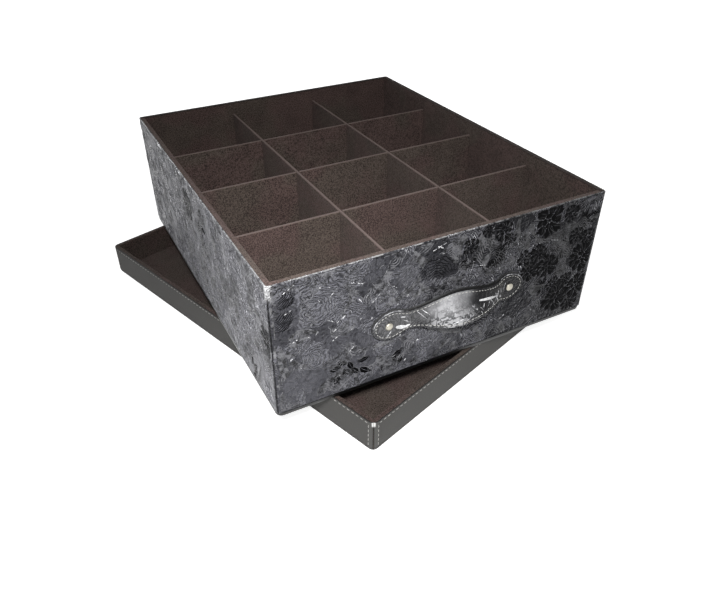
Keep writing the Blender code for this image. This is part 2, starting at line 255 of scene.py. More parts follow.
# %% [markdown]
# ## Measures
# Several finishes change at an edge: a rubbed rim, a seam down a corner. They need the sizes of
# the box and of the turned lid, so these are read once, from the CAD solids.

# %% Sizes of the box and the lid
box_low = Vector(map(min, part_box("left_cover")[0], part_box("front_cover")[0]))
box_high = Vector(map(max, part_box("right_cover")[1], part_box("back_cover")[1]))
box_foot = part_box("base_cover")[0].z
box_middle = (box_low + box_high) / 2
box_half_width = (box_high.x - box_low.x) / 2
box_half_depth = (box_high.y - box_low.y) / 2
box_height = box_high.z - box_foot
box_rim_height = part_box("front_lining")[1].z

lid_turn = math.radians(18.3)
lid_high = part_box("lid_front_cover")[1].z
lid_back_turn = Matrix.Rotation(-lid_turn, 3, "Z")
lid_half = []
for axis, pair in ((0, ("left", "right")), (1, ("front", "back"))):
    covers = [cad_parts["lid_" + side + "_cover"].data for side in pair]
    corners = [lid_back_turn @ v.co for cover in covers for v in cover.vertices]
    lid_half.append(max(abs(c[axis]) for c in corners))
print("box", round(box_half_width * 2, 4), round(box_half_depth * 2, 4), round(box_height, 4))
print("lid", [round(half * 2, 4) for half in lid_half], "turned", round(math.degrees(lid_turn), 1), "degrees")

# %% [markdown]
# ## Velvet
# The lining and the dividers are covered in short brown pile. Real pile scatters light back at
# glancing angles, so it looks dusty along every turned edge. Hair particles would be right for a
# close-up and far too heavy here: a sheen on a rough base, a fine bump, cloudy patches where the
# pile leans differently, and paler tops, partly brushed and partly a painted highlight, give the
# same reading. The faces that look left are painted darker, a painted shade.

# %% Velvet finish
pile_dark = (0.028, 0.021, 0.019)
pile_red = (0.182, 0.124, 0.112)
pile_olive = (0.168, 0.133, 0.112)
pile_brushed_and_lit = (0.205, 0.158, 0.145)
pile_sheen = (0.75, 0.62, 0.58)
far_rim_dark = (0.008, 0.008, 0.008)
pile_patch, pile_grain, pile_tuft, pile_hue = 45.0, 760.0, 1700.0, 16.0
divider_top_low, divider_top_high = (0.150, 0.157), (0.1600, 0.1590)
rim_band = 0.0012
far_wall_start, far_wall_full = 0.007, 0.006


def velvet_finish(name, depth=1.0):
    finish = Finish(name)
    patches = finish.noise(pile_patch, 3.0, 0.6)
    grain = finish.noise(pile_grain, 3.0, 0.75)
    tufts = finish.noise(pile_tuft, 1.0, 0.5)
    lean = finish.smooth(patches * 0.16 + grain * 1.20 + tufts * 0.20, 0.56, 0.98)
    # depth darkens the whole pile; for the lid's lining it is a painted shade
    low, red, olive = (tuple(c * depth for c in pile) for pile in (pile_dark, pile_red, pile_olive))
    hue = finish.smooth(finish.noise(pile_hue, 2.0, 0.6), 0.42, 0.58)
    colour = finish.mix(lean, low, finish.mix(hue, red, olive))
    # faces that look left are painted darker: a painted shade
    painted_shade_facing_left = finish.smooth(finish.side_x, -0.60, -0.95)
    colour = finish.mix(painted_shade_facing_left * 0.28, colour, low)

    # the divider tops and rims that turn up are paler: partly brushed pile, partly a painted highlight
    divider_top = finish.smooth(finish.z, *divider_top_low) * finish.smooth(finish.z, *divider_top_high)
    rims = finish.smooth(finish.z, box_rim_height - rim_band, box_rim_height)
    turned_up = finish.smooth(finish.up, 0.35, 0.95)
    brushed_and_lit = turned_up * (divider_top + rims * 0.10) * (0.5 + grain)
    colour = finish.mix(brushed_and_lit, colour, pile_brushed_and_lit)
    far_wall, back_wall = (
        finish.smooth(place, edge - far_wall_start, edge - far_wall_full)
        for place, edge in ((finish.x, box_high.x), (finish.y, box_high.y)))
    far_wall = far_wall.math("MAXIMUM", back_wall)
    colour = finish.mix(far_wall * rims * 0.8, colour, far_rim_dark)

    finish.set(Base_Color=colour, Roughness=0.95, Specular_IOR_Level=0.04)
    finish.set(Sheen_Weight=0.16, Sheen_Roughness=0.5, Sheen_Tint=pile_sheen)
    finish.bump(grain + tufts * 0.5, 0.0012, 0.7)
    return finish.material


velvet = velvet_finish("brown_velvet")
# the lid's lining: the same velvet painted darker, a painted shade
shaded_lid_velvet = velvet_finish("brown_lid_velvet_painted_shade", 0.56)
print("velvets", velvet.name, shaded_lid_velvet.name)

# %% [markdown]
# ## Satin ground of the box walls
# The walls are covered in a coated leather with a soft, pearly grey face. Under the flowers the
# whole ground is drawn over with fine engraved contour lines and a leather grain. These are far
# thinner than any solid worth modelling, so they are colour and bump. A cell pattern cuts the
# sheet into patches; one patch carries rings, the next straight hatching at its own angle. The
# coating is pearly: seen at a glancing angle it is paler, which the shader's own sheen gives. The
# left wall's sheet is smoother than the others, and its pressed flowers are painted pale: a painted
# reflection.

# %% Creases and engraved lines
line_pitch = 0.0026
cell_scale = 42.0
line_bend = 0.013


def creases(finish, scale):
    # folds as on crumpled foil: noise that is folded over at its middle
    return 1 - (finish.noise(scale, 2.0, 0.5) - 0.5).math("ABSOLUTE") * 4


def engraved_lines(finish):
    # each cell of the sheet has its own centre and its own direction of fine lines
    bend = finish.noise(90.0, 2.0, 0.6).out("Color")
    bent = finish.node("ShaderNodeVectorMath", {"operation": "SCALE"}, {0: bend, "Scale": line_bend})
    place = finish.node("ShaderNodeVectorMath", {"operation": "ADD"}, {0: finish.place, 1: bent})
    cell = finish.node("ShaderNodeTexVoronoi", None, {"Vector": place, "Scale": cell_scale})
    red, green, blue = finish.parts(cell.out("Color"))
    x, y, z = finish.parts(place)
    lean = red * (2 * math.pi)
    hatch = (x + y) * lean.math("COSINE") + z * lean.math("SINE")
    ringed = finish.smooth(green, 0.69, 0.71)
    phase = (cell / cell_scale * ringed + hatch * (1 - ringed)) * (2 * math.pi / line_pitch)
    return phase.math("SINE") * 0.5 + 0.5, finish.smooth(blue, 0.20, 0.45)


def corner_marks(finish, x, y, half_x, half_y, radius):
    # how far a point is from the seam down the nearest corner: the seam, and the bands beside it, where a
    # highlight is painted
    beyond_x = x.math("ABSOLUTE") - (half_x - radius)
    beyond_y = y.math("ABSOLUTE") - (half_y - radius)
    at_corner = finish.smooth(beyond_x.math("MINIMUM", beyond_y), -0.0012, 0.0)
    off = (beyond_x - beyond_y).math("ABSOLUTE")
    seam, highlight_beside_seam = finish.smooth(off, 0.0012, 0.0005), finish.smooth(off, 0.0010, 0.0018)
    return seam * at_corner, highlight_beside_seam * at_corner


# %% Satin ground finish
ground_low, ground_high = (0.008, 0.008, 0.010), (0.152, 0.152, 0.172)
worn_edge_highlight, painted_tip_glint = (0.42, 0.42, 0.42), (0.75, 0.75, 0.76)
seam_dark, foot_shadow_dark = (0.004, 0.004, 0.004), (0.014, 0.013, 0.012)
pearl = {"Sheen_Roughness": 0.30, "Sheen_Tint": (0.95, 0.95, 1.0)}
pearl_sheen = 0.46
box_corner_radius = 0.0030
tip_start, tip_full = -0.3840, -0.3872
ground_relief = 0.0016


def wear_and_highlights(finish):
    # the rim and the corner bands are pale, partly rubbed and partly a painted highlight, most of all near
    # the front left corner
    x, y, z = finish.x, finish.y, finish.z
    rubbed_and_glinting = finish.noise(160.0, 3.0, 0.7)
    from_middle = x - box_middle.x, y - box_middle.y
    seam, highlight_beside_seam = corner_marks(finish, *from_middle, box_half_width, box_half_depth, box_corner_radius)
    handled_and_lit = finish.smooth(x + y, 0.02, -0.30, 0.25, 1.0)
    at_rim = finish.smooth(z, box_rim_height - 0.0010, box_rim_height - 0.0002)
    worn_and_lit = at_rim * finish.smooth(rubbed_and_glinting, 0.38, 0.60) * handled_and_lit
    worn_and_lit = worn_and_lit.math("MAXIMUM", highlight_beside_seam * finish.smooth(rubbed_and_glinting, 0.46, 0.60) * 0.4)
    # the front left corner's tip is painted near white: a painted glint
    tip = finish.smooth(x + y, tip_start, tip_full) * finish.smooth(z, box_high.z - 0.018, box_high.z - 0.004)
    return worn_and_lit, seam, tip * finish.smooth(rubbed_and_glinting, 0.36, 0.50)


def satin_ground(name, lift=0.0, rough=0.36, depth=1.0, sheen=pearl_sheen, painted_far_shade=0.0):
    finish = Finish(name)
    x, y, z = finish.x, finish.y, finish.z
    clouds = finish.noise(24.0, 3.0, 0.55)
    blotches = finish.noise(75.0, 2.0, 0.6)
    grain = finish.noise(900.0, 3.0, 0.7)
    folds, fine_folds = creases(finish, 95.0), creases(finish, 260.0)
    line, patch = engraved_lines(finish)
    relief = line * patch
    shade = clouds * 0.14 + blotches * 0.14 + grain * 0.37 + fine_folds * 0.30 + relief * 0.85 - 0.29 + lift
    # painted light and shade: the lower left is painted plainer and paler, the right end darker, and a
    # painted shade darkens the back
    painted_light_lower_left = finish.smooth(z, 0.115, 0.060) * finish.smooth(x, 0.07, -0.05)
    shade = shade + painted_light_lower_left * 0.18 - finish.smooth(x, -0.10, 0.11) * 0.41
    shade = shade - finish.smooth(y, -0.04, 0.06) * painted_far_shade

    worn_and_lit, seam, tip = wear_and_highlights(finish)
    colour = finish.mix(worn_and_lit, finish.mix(shade, ground_low, ground_high), worn_edge_highlight)
    colour = finish.mix(seam, colour, seam_dark)
    # the lowest millimetres of the wall are painted dark: a painted shadow line above the base
    painted_shadow_at_foot = finish.smooth(z, box_foot + 0.0050, box_foot + 0.0040)
    colour = finish.mix(painted_shadow_at_foot * 0.85, colour, foot_shadow_dark)
    finish.set(Base_Color=finish.mix(tip, colour, painted_tip_glint), Sheen_Weight=sheen, **pearl)
    finish.set(Roughness=rough + clouds * 0.14 - relief * 0.10, IOR=1.16)
    height = relief * 0.75 + folds * 0.45 + fine_folds * 0.28 + grain * 0.10
    finish.bump(height, ground_relief * depth)
    return finish.material


satin_leather = satin_ground("satin_leather_ground")
satin_flower = satin_ground("satin_flower_leather", lift=0.16, rough=0.30)
# the left wall's copies: a painted shade towards the back, and flowers painted pale as a painted reflection
smooth_satin = satin_ground("smooth_satin_leather", lift=-0.04, depth=0.45, sheen=0.27, painted_far_shade=0.20)
left_flower_painted_reflection = satin_ground("left_flower_leather_painted_reflection", lift=0.40, rough=0.26, depth=0.45, sheen=0.34, painted_far_shade=0.12)
print("grounds", satin_leather.name, satin_flower.name, smooth_satin.name, left_flower_painted_reflection.name)


# %% Edges of engraved lines
def engraved_edge(name, low, high, painted_fade_right=0.0):
    finish = Finish(name)
    breaks = finish.noise(260.0, 2.0, 0.6)
    # towards the right end the lines are painted darker: a painted shade
    bright = finish.smooth(breaks, 0.35, 0.65) * (1 - finish.smooth(finish.x, -0.05, 0.12) * painted_fade_right)
    finish.set(Base_Color=finish.mix(bright, low, high), Sheen_Weight=0.30, **pearl)
    finish.set(Roughness=0.22 + breaks * 0.16, IOR=1.42)
    return finish.material


engraved_leather = engraved_edge("engraved_line_leather", (0.004, 0.004, 0.005), (0.155, 0.155, 0.166), 0.60)
glint_line_leather = engraved_edge("painted_glint_line_leather", (0.10, 0.10, 0.11), (0.85, 0.85, 0.87))
glint_strap_leather = engraved_edge("painted_glint_strap_leather", (0.55, 0.55, 0.56), (0.88, 0.88, 0.89))
print("line edges", engraved_leather.name, glint_line_leather.name, glint_strap_leather.name)

# %% [markdown]
# ## Glossy flowers
# The flowers are pressed smooth and dark into the same sheet. They send light on like a mirror
# instead of spreading it, so next to the satin they look black from most sides. A low index of
# refraction keeps them dark where they mirror the white floor.

# %% A finish with one grain, and the glossy flowers
def one_grain(name, grain, low, high, relief, rough, rough_gain=None, **constants):
    # one noise drives the colour, a fine bump and, where a gain is given, the gloss
    finish = Finish(name)
    noise = finish.noise(*grain)
    finish.set(Base_Color=finish.mix(noise, low, high), **constants)
    finish.set(Roughness=rough + noise * rough_gain if rough_gain else rough)
    finish.bump(noise, *relief)
    print("finish", name)
    return finish.material


flower_leather = one_grain(
    "glossy_flower_leather", (420.0, 2.0, 0.5), (0.002, 0.002, 0.002), (0.007, 0.007, 0.008),
    (0.0002, 0.4), 0.18, 0.12, IOR=1.07)

# %% [markdown]
# ## Plain leathers, board, thread and metal
# The base is leatherette painted near black, a painted shade under the box, and the back of the
# strap is plain dark leatherette; the lid is a grey-brown one with a fine pebbled grain, and the
# boards inside are pressed fibre. Each is a short network with the grain at its real scale.

# %% Plain leathers
lid_ridge_highlight, lid_seam_dark, lid_tip_glint = (0.13, 0.13, 0.125), (0.010, 0.009, 0.009), (0.80, 0.80, 0.78)
cut_edge_black = (0.002, 0.002, 0.002)
lid_corner_radius = 0.0060


def lid_folds(finish, colour):
    # the lid's corners are folded to a dark seam between two ridges painted lighter as a painted highlight;
    # its rim is cut dark, and its front left corner's tip gets a painted glint
    x, y, z = finish.x, finish.y, finish.z
    along = x * math.cos(lid_turn) + y * math.sin(lid_turn)
    deep = y * math.cos(lid_turn) - x * math.sin(lid_turn)
    seam, highlight_beside_seam = corner_marks(finish, along, deep, *lid_half, lid_corner_radius)
    cut = finish.smooth(finish.up, 0.3, 0.8) * finish.smooth(z, lid_high - 0.002, lid_high - 0.001)
    colour = finish.mix(highlight_beside_seam * 0.35, colour, lid_ridge_highlight)
    colour = finish.mix(seam.math("MAXIMUM", cut) * 0.85, colour, lid_seam_dark)
    tip = finish.smooth(along + deep, -sum(lid_half) + 0.0041, -sum(lid_half) + 0.0036)
    return finish.mix(tip * finish.smooth(z, lid_high - 0.0060, lid_high - 0.0035), colour, lid_tip_glint)


def dark_cut_edges(finish, colour):
    edge = finish.smooth(finish.up.math("ABSOLUTE"), 0.45, 0.65)
    return finish.mix(edge, colour, cut_edge_black)


def pebbled_leather(name, low, high, rough, pebble, depth, index=1.30, marks=None):
    finish = Finish(name)
    clouds = finish.noise(14.0, 3.0, 0.6)
    pebbles = {"Vector": finish.place, "Scale": pebble}
    cells = finish.node("ShaderNodeTexVoronoi", {"feature": "SMOOTH_F1"}, pebbles)
    fine = finish.noise(pebble * 2.4, 2.0, 0.6)
    colour = finish.mix(clouds * 0.75 + fine * 0.25, low, high)
    finish.set(Base_Color=marks(finish, colour) if marks else colour)
    finish.set(Roughness=rough + fine * 0.10 - 0.05, IOR=index)
    finish.bump(cells + fine * 0.4, depth, 0.6)
    return finish.material


shaded_base_leather = pebbled_leather(
    "base_leatherette_painted_shade", (0.003, 0.003, 0.003), (0.006, 0.006, 0.006), 0.30, 900.0, 0.0001, 1.50)
lid_leather = pebbled_leather(
    "lid_leatherette_grain", (0.053, 0.051, 0.048), (0.074, 0.072, 0.068), 0.62, 1000.0, 0.0002,
    marks=lid_folds)
strap_back_leather = pebbled_leather(
    "strap_back_leather", (0.030, 0.030, 0.031), (0.050, 0.050, 0.050), 0.50, 1000.0, 0.0002,
    marks=dark_cut_edges)
print("plain leathers", shaded_base_leather.name, lid_leather.name, strap_back_leather.name)


# %% Fibre board, rivet metal and thread
thread_grain, thread_relief = (2600.0, 1.0, 0.5), (0.0001, 0.6)
fibre_board = one_grain(
    "pressed_fibre_board", (700.0, 4.0, 0.7), (0.22, 0.16, 0.10), (0.42, 0.33, 0.23), (0.0003, 0.5), 0.9)
rivet_metal = one_grain(
    "pale_rivet_metal", (900.0, 2.0, 0.6), (0.40, 0.38, 0.32), (0.54, 0.51, 0.44),
    (0.00008, 0.3), 0.34, 0.14, Metallic=1.0)
lid_thread, strap_thread = (
    one_grain(name, thread_grain, low, high, thread_relief, 0.75, Sheen_Weight=0.2)
    for name, low, high in (
        ("lid_thread", (0.34, 0.33, 0.31), (0.50, 0.49, 0.46)),
        ("strap_thread", (0.50, 0.49, 0.46), (0.72, 0.71, 0.68))))

# %% [markdown]
# ## Strap leather
# The strap is cut from the same leather, but its face is glossier. A broad white shine on its left
# flank is a painted highlight, with more metal and coat there; fine creases run on the right and
# round the left rivet. Its cut edges are dark, and its left foot is painted paler, as painted light.

# %% Strap finish
strap_crease_top, strap_crease_foot = box_foot + 0.074, box_foot + 0.056
strap_dark = ((0.003, 0.003, 0.004), (0.013, 0.013, 0.015))
left_foot_painted_light = ((0.022, 0.022, 0.023), (0.155, 0.155, 0.162))
strap_shine_colour = (0.37, 0.37, 0.38)


def strap_finish(name):
    finish = Finish(name)
    x, z = finish.x, finish.z
    clouds = finish.noise(60.0, 2.0, 0.5)
    grain = finish.noise(1200.0, 2.0, 0.6)
    folds = creases(finish, 210.0)
    line, patch = engraved_lines(finish)
    tone = clouds * 0.5 + line * patch * 0.5
    # the left foot is painted paler than the rest of the strap: painted light
    left_foot_lit = finish.smooth(x, -0.030, -0.044)
    colour = finish.mix(left_foot_lit, finish.mix(tone, *strap_dark), finish.mix(tone, *left_foot_painted_light))

    cut_edge = finish.smooth(finish.up, 0.42, 0.62)
    shore = x + (clouds - 0.5) * 0.030
    reach = finish.smooth(shore, -0.042, -0.014) * finish.smooth(shore, 0.020, -0.014)
    creased = finish.smooth(creases(finish, 190.0), 0.62, 0.92)
    creased = creased * finish.smooth(z, strap_crease_top, strap_crease_foot, 0.15, 0.85)
    # the shine on the left flank is a painted highlight in the colour; its metal and coat are real gloss
    gloss_and_painted_shine = reach * (1 - cut_edge) * (1 - creased)
    colour = finish.mix(gloss_and_painted_shine, colour, strap_shine_colour)
    finish.set(Base_Color=finish.mix(cut_edge, colour, cut_edge_black), Metallic=gloss_and_painted_shine * 0.60)
    finish.set(Roughness=0.24 + clouds * 0.08 + gloss_and_painted_shine * 0.06 + cut_edge * 0.4, IOR=1.26)
    finish.set(Coat_Weight=gloss_and_painted_shine * 0.20, Coat_Roughness=0.24)
    crumpled = finish.smooth(x, 0.004, 0.020).math("MAXIMUM", finish.smooth(x, -0.026, -0.036))
    wrinkles = (folds * 0.8 + line * patch * 0.3) * (crumpled * 0.75 + 0.25)
    finish.bump(wrinkles + grain * 0.06, 0.0009)
    return finish.material


strap_leather = strap_finish("satin_strap_leather")
print("strap", strap_leather.name)

# %% [markdown]
# ## Dress the solids
# The CAD solids already have the right shapes, so they stay, and each gets its finish through
# its own material slots.

# %% Give every CAD solid its finish
sides = ("front", "right", "back", "left")
lid_words = (("board", fibre_board), ("lining", shaded_lid_velvet), ("cover", lid_leather))
box_words = (
    ("board", fibre_board), ("lining", velvet), ("divider", velvet), ("rivet", rivet_metal),
    ("strap", strap_leather), ("backing", strap_back_leather), ("base_cover", shaded_base_leather),
    ("left_cover", smooth_satin), ("cover", satin_leather),
)


def finish_for(name):
    # the first word that the node's name holds says its finish
    words = lid_words if name.startswith("lid_") else box_words
    return next(material for word, material in words if word in name)


for name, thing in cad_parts.items():
    for slot in thing.material_slots:
        slot.material = finish_for(name)
print(len(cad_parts), "solids dressed")

# %% [markdown]
# ## Where the walls are
# Flowers are drawn flat, in a wall's own width and height, and then laid on its face. Every wall
# is described by the middle of its foot, the way along it, and the way out.

# %% The four walls of the box
class Wall:
    def __init__(self, middle, along, half_length):
        self.foot = Vector((*middle, box_foot))
        self.along = Vector(along)
        self.out = self.along.cross(Vector((0, 0, 1)))
        self.half_length = half_length

    def point(self, across, up, proud):
        return self.foot + self.along * across + Vector((0, 0, up)) + self.out * proud


walls = {
    "front": Wall((box_middle.x, box_low.y), (1, 0, 0), box_half_width),
    "right": Wall((box_high.x, box_middle.y), (0, 1, 0), box_half_depth),
    "back": Wall((box_middle.x, box_high.y), (-1, 0, 0), box_half_width),
    "left": Wall((box_low.x, box_middle.y), (0, -1, 0), box_half_depth),
}


# %% A piece of mesh that rides on a body
class Shape:
    def __init__(self):
        self.points = []
        self.faces = []

    def add(self, points, faces):
        start = len(self.points)
        self.points += [tuple(p) for p in points]
        self.faces += [tuple(start + i for i in face) for face in faces]

    def piece(self, name, material, body, slot):
        mesh = bpy.data.meshes.new(name)
        mesh.from_pydata(self.points, [], self.faces)
        mesh.validate()
        mesh.materials.append(material)
        mesh.shade_smooth()
        thing = bpy.data.objects.new(name, mesh)
        bpy.context.scene.collection.objects.link(thing)
        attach(thing, body)
        print(name, len(mesh.polygons), "faces")


# %% [markdown]
# ## Drawing petals and leaves
# A rose seen from above is a ring of long petals round a smaller ring, with a thin line of
# ground left between them. Each petal's outer edge is ruffled and notched, and carries veins. A leaf
# is a pointed oval, and a spray is a fan of leaves on a stem. Each shape is only an outline here.

# %% Outlines of petals
vein = 0.00034
petal_steps = 14
petal_rings = ((0.40, 1.0, 8), (0.12, 0.46, 5))


def polar(distance, angle, at=(0.0, 0.0)):
    return at[0] + distance * math.cos(angle), at[1] + distance * math.sin(angle)


def petal(inner, outer, start, sweep, draw):
    first, second = draw.uniform(0, 6), draw.uniform(0, 6)
    notch_at, notch_depth = draw.uniform(0.3, 0.7), draw.uniform(0.08, 0.30)
    margin = vein / outer
    outline = []
    for i in range(petal_steps + 1):
        share = i / petal_steps
        reach = 1 - 0.30 * abs(2 * share - 1) ** 3
        reach *= 1 - notch_depth * math.exp(-((share - notch_at) / 0.07) ** 2)
        reach *= 1 + 0.07 * math.sin(share * 15 + first) + 0.05 * math.sin(share * 29 + second)
        outline.append(polar(inner + (outer - inner) * reach, start + margin + (sweep - 2 * margin) * share))
    inner_margin = min(vein / max(inner, 0.0008), sweep * 0.4)
    for i in range(4, -1, -1):
        angle = start + inner_margin + (sweep - 2 * inner_margin) * i / 4
        outline.append(polar(inner + vein * (1.0 + 0.8 * math.sin(i * 2.1 + first)), angle))
    return outline


def rose(radius, turn_angle, draw):
    # outlines of the petals, and the veins that stand on the outer ones
    outlines, veins = [], []
    for ring, (inner, outer, count) in enumerate(petal_rings):
        shares = [draw.uniform(0.6, 1.4) for _ in range(count)]
        start = turn_angle + ring * 0.7
        for share in shares:
            sweep = 2 * math.pi * share / sum(shares)
            grow = draw.uniform(0.82, 1.20) if ring == 0 else 1.0
            outlines.append(petal(inner * radius, outer * radius * grow, start, sweep, draw))
            foot, tip = inner * 1.15, outer * grow * 0.86
            for k in (0.35, 0.65) if ring == 0 else ():
                reach = [radius * (foot + (tip - foot) * i / 5) for i in range(6)]
                veins.append([polar(d, start + sweep * k + 0.06 * i) for i, d in enumerate(reach)])
            start += sweep
    outlines.append([polar(0.10 * radius, k * math.pi / 4) for k in range(8)])
    return outlines, veins


# %% Outlines of leaves, palms and ferns
palm_spread = 2.3


def laid(points, at, angle, bend=0.0):
    # a shape drawn along x is turned, bent more and more towards its tip, and moved
    length = max(x for x, _ in points)
    turned = []
    for x, y in points:
        lean = angle + bend * x / length
        cos, sin = math.cos(lean), math.sin(lean)
        turned.append((at[0] + x * cos - y * sin, at[1] + x * sin + y * cos))
    return turned


def leaf(length, width, at, angle, bend=0.0, teeth=5):
    # two halves, with the midrib left between them
    halves = []
    for sign in (1, -1):
        points = []
        steps = 3 * teeth
        for i in range(steps + 1):
            share = i / steps
            tooth = 1 - 0.16 * ((i % 3) / 2 if teeth > 2 else 0)
            across = vein * 0.45 + width / 2 * math.sin(math.pi * share ** 0.8) ** 0.8 * tooth
            points.append((share * length, sign * across))
        points += [(length * share, sign * vein * 0.4) for share in (0.7, 0.35)]
        halves.append(laid(points, at, angle, bend))
    return halves


def palm(reach, angle, count, draw):
    outlines = []
    for i in range(count):
        side = i / (count - 1) - 0.5
        lean = angle + side * palm_spread
        length = reach * (0.80 - 0.35 * abs(side)) * draw.uniform(0.85, 1.12)
        width = length * draw.uniform(0.30, 0.42)
        outlines += leaf(length, width, polar(reach * 0.20, lean), lean, 0.5 * side)
    return outlines


def fern(reach, angle, pairs, curl):
    outlines = []
    at = (0.0, 0.0)
    for i in range(pairs):
        share = i / pairs
        lean = angle + curl * share
        at = polar(reach / pairs, lean, at)
        length = reach * 0.32 * (1 - 0.6 * share)
        for sign in (-1, 1):
            outlines.append(leaf(length, length * 0.34, at, lean + sign * 0.80, -sign * 0.4, 1)[0])
    return outlines


# %% [markdown]
# ## Laying outlines on a wall
# The sheet was embossed before it was cut, so the pattern runs up to the edges and stops there.
# Each outline is cut to the wall's rectangle, then raised: a rim just under the surface, a
# shoulder, and a soft crown. The relief is a fifth of a millimetre, as on pressed leather.

# %% Cut and raise an outline
wall_margin, wall_foot, wall_head = 0.0034, 0.0062, 0.0016
relief_sink, relief_height = 0.00006, 0.00022
relief_rings = ((1.0, -relief_sink), (0.86, relief_height * 0.72), (0.50, relief_height))


def clip(outline, axis, limit, sign):
    kept = []
    for i, here in enumerate(outline):
        before = outline[i - 1]
        inside, inside_before = sign * here[axis] <= sign * limit, sign * before[axis] <= sign * limit
        if inside != inside_before:
            share = (limit - before[axis]) / (here[axis] - before[axis])
            kept.append(tuple(b + (h - b) * share for h, b in zip(here, before)))
        if inside:
            kept.append(here)
    return kept


def cut_to_wall(wall, outline):
    edge = wall.half_length - wall_margin
    limits = ((0, edge, 1), (0, -edge, -1), (1, box_height - wall_head, 1), (1, wall_foot, -1))
    for axis, limit, sign in limits:
        outline = clip(outline, axis, limit, sign)
        if len(outline) < 3:
            return []
    return outline


def middle_of(outline):
    return [sum(p[k] for p in outline) / len(outline) for k in (0, 1)]


def raise_outline(shape, wall, outline):
    outline = cut_to_wall(wall, outline)
    if not outline:
        return
    count, middle = len(outline), middle_of(outline)
    points = []
    for keep, proud in relief_rings:
        for place in outline:
            points.append(wall.point(*(m + (p - m) * keep for p, m in zip(place, middle)), proud))
    points.append(wall.point(*middle, relief_height * 1.05))
    faces = []
    for i in range(count):
        j = (i + 1) % count
        faces += [(i, j, count + j, count + i), (count + i, count + j, 2 * count + j, 2 * count + i)]
        faces.append((2 * count + i, 2 * count + j, 3 * count))
    signed = sum(outline[i - 1][0] * outline[i][1] - outline[i][0] * outline[i - 1][1] for i in range(count))
    if signed < 0:
        faces = [tuple(reversed(face)) for face in faces]
    shape.add(points, faces)


# %% A thin raised line
line_head = 0.002


def wall_places(wall, path):
    edge = wall.half_length - wall_margin
    inside = [(x, z) for x, z in path if abs(x) < edge and wall_foot < z < box_height - line_head]
    return [(wall.point(x, z, 0.0), wall.out) for x, z in inside]


def ridge(shape, places, width, height):
    # a line with a foot on both sides and a crown, that thins out at its ends
    if len(places) < 3:
        return
    points, faces = [], []
    for i, (place, outward) in enumerate(places):
        way = places[min(i + 1, len(places) - 1)][0] - places[max(i - 1, 0)][0]
        if way.length == 0:
            return
        across = outward.cross(way.normalized())
        taper = math.sin(math.pi * (i + 0.5) / len(places)) ** 0.4
        half = width / 2 * taper
        for shift, proud in ((half, -relief_sink), (0.0, height * taper), (-half, -relief_sink)):
            points.append(place + across * shift + outward * proud)
    for a in range(0, 3 * len(places) - 3, 3):
        b = a + 3
        faces += [(a, a + 1, b + 1, b), (a + 1, a + 2, b + 2, b + 1)]
    shape.add(points, faces)


# %% Engraved line motifs
ring_pitch, ring_step, feather_step = 0.0023, 0.0011, 0.0022
hatch_pitch, dome_pitch = 0.0016, 0.0025


def contour_rose(radius, draw):
    # ruffled rings, one inside the other, open on one side
    paths = []
    lobes, first = draw.choice((5, 6, 7)), draw.uniform(0, 6)
    opening = draw.uniform(0, 2 * math.pi)
    rings = max(3, round(radius / ring_pitch))
    for ring in range(rings):
        size = radius * (1 - ring / rings)
        steps = max(10, round(2 * math.pi * size / ring_step))
        gap = draw.uniform(0.2, 2.4)
        path = []
        for i in range(steps + 1):
            angle = opening + gap / 2 + (2 * math.pi - gap) * i / steps
            ruffle = 1 + 0.10 * math.sin(lobes * angle + first + ring * 0.5)
            ruffle += 0.03 * math.sin(13 * angle + ring)
            path.append(polar(size * ruffle, angle))
        paths.append(path)
    return paths


def feather(reach, angle, draw):
    paths, spine = [], []
    curl = draw.uniform(-0.9, 0.9)
    at, steps = (0.0, 0.0), round(reach / feather_step)
    for i in range(steps):
        lean = angle + curl * i / steps
        at = polar(feather_step, lean, at)
        spine.append(at)
        barb = reach * 0.36 * math.sin(math.pi * (i + 1.2) / (steps + 1.4)) ** 0.7
        points = [(barb * k / 5, 0.0) for k in range(6)]
        paths += [laid(points, at, lean + sign * 0.75, -sign * 0.5) for sign in (-1, 1)]
    return paths + [spine]


def leaf_line(length, width, at, angle):
    points = [(length * k / 12, width / 2 * math.sin(math.pi * k / 12)) for k in range(13)]
    lower = [(x, -y) for x, y in points]
    rib = [(length * k / 6, 0.0) for k in range(7)]
    return [laid(path, at, angle) for path in (points, lower, rib)]


def leaf_lines(reach, angle, draw):
    paths = []
    for i in range(5):
        lean = angle + (i - 2) * 0.55
        paths += leaf_line(reach * draw.uniform(0.7, 1.0), reach * 0.30, (0.0, 0.0), lean)
    return paths


def hatched_leaf(length, width, at, angle):
    paths = []
    for i in range(int(width / hatch_pitch)):
        across = (i + 0.5) * hatch_pitch - width / 2
        half = length / 2 * math.sqrt(max(0.0, 1 - (2 * across / width) ** 2))
        wave = [0.0005 * math.sin(k * 1.3 + i) for k in range(9)]
        points = [(half * (k / 4 - 1) + length / 2, across + w) for k, w in enumerate(wave)]
        paths.append(laid(points, at, angle, 0.5))
    return paths


def hatched_dome(radius, at, start, end):
    paths = []
    for ring in range(2, int(radius / dome_pitch) + 1):
        angles = [start + (end - start) * i / 40 for i in range(41)]
        paths.append([polar(ring * dome_pitch * (1 + 0.05 * math.sin(9 * a + ring)), a, at) for a in angles])
    return paths


# %% [markdown]
# ## The pattern on the front
# The pattern is a common one of roses, palm leaves and ferns. On the front it is laid out as listed:
# dark roses crowd the right third, a palm and a leaf cluster hang in the middle of the top edge,
# and a few dark leaves lie low on the left. Satin ones and engraved lines fill what is left.

